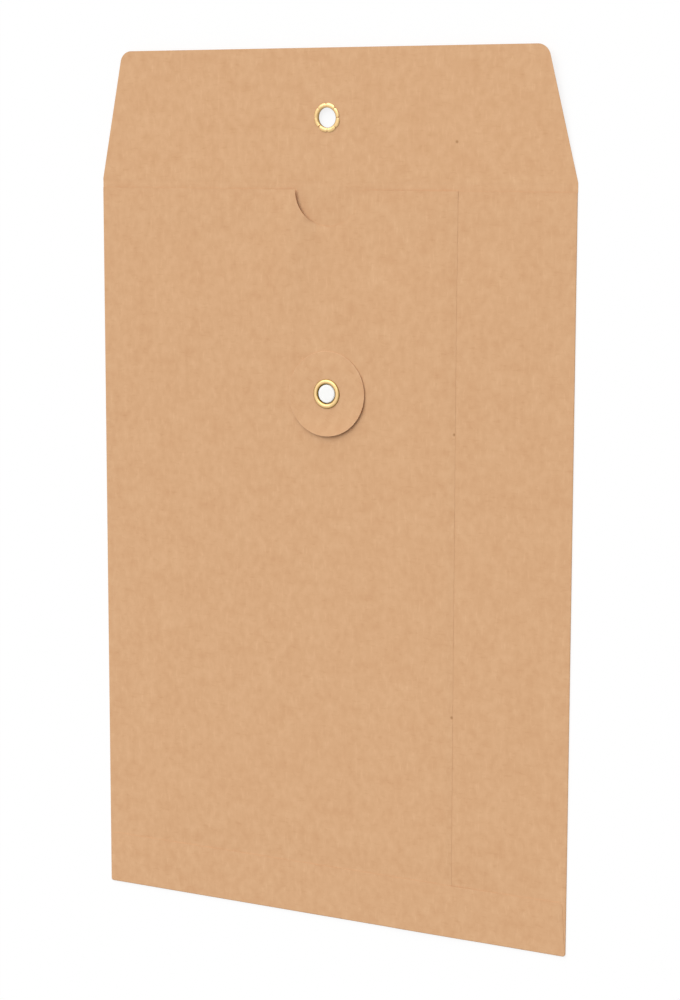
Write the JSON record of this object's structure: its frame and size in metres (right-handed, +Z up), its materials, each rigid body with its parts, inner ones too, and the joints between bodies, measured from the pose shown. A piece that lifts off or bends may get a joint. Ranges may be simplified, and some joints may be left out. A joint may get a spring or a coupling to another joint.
{
  "type": "string tie envelope",
  "caption": "Flat kraft paper pocket envelope with a hinged top flap, thumb notch and turning paper washers on brass eyelets.",
  "frame": {"origin": "centre of the front panel's outer face, which lies on the table", "axes": "+X across the envelope to the back seam's side, +Y from the bottom fold to the open flap, +Z up out of the back"},
  "size_m": [0.162, 0.2694, 0.0023],
  "materials": {
    "kraft_paper": "matte",
    "washer_paper": "matte",
    "patch_paper": "matte",
    "eyelet_brass": "satin",
    "dried_glue": "satin"
  },
  "bodies": {
    "pocket": {"front_panel": "kraft_paper", "left_fold": "kraft_paper", "right_fold": "kraft_paper", "left_back_panel": "kraft_paper", "right_back_panel": "kraft_paper", "seam_glue": "dried_glue", "bottom_fold": "kraft_paper", "bottom_flap": "kraft_paper", "bottom_glue": "dried_glue", "top_crease": "kraft_paper", "back_eyelet": "eyelet_brass", "back_eyelet_patch": "patch_paper"},
    "flap": {"top_flap": "kraft_paper", "flap_eyelet": "eyelet_brass"},
    "back_disc": {"back_washer": "washer_paper"},
    "flap_disc": {"flap_washer": "washer_paper"}
  },
  "joints": [
    {"name": "flap_fold", "type": "hinge", "parent": "pocket", "child": "flap", "pos_m": [0, 0.1145, 0.00077], "axis": [1, 0, 0], "range_deg": [-3.07, 176.93], "deforming": ["top_crease"]},
    {"name": "back_disc_turn", "type": "hinge", "parent": "pocket", "child": "back_disc", "pos_m": [0, 0.051, 0.0011], "axis": [0, 0, 1], "continuous": true},
    {"name": "flap_disc_turn", "type": "hinge", "parent": "flap", "child": "flap_disc", "pos_m": [0, 0.13422, 0.00093], "axis": [0, -0.0535, 0.9986], "continuous": true}
  ]
}
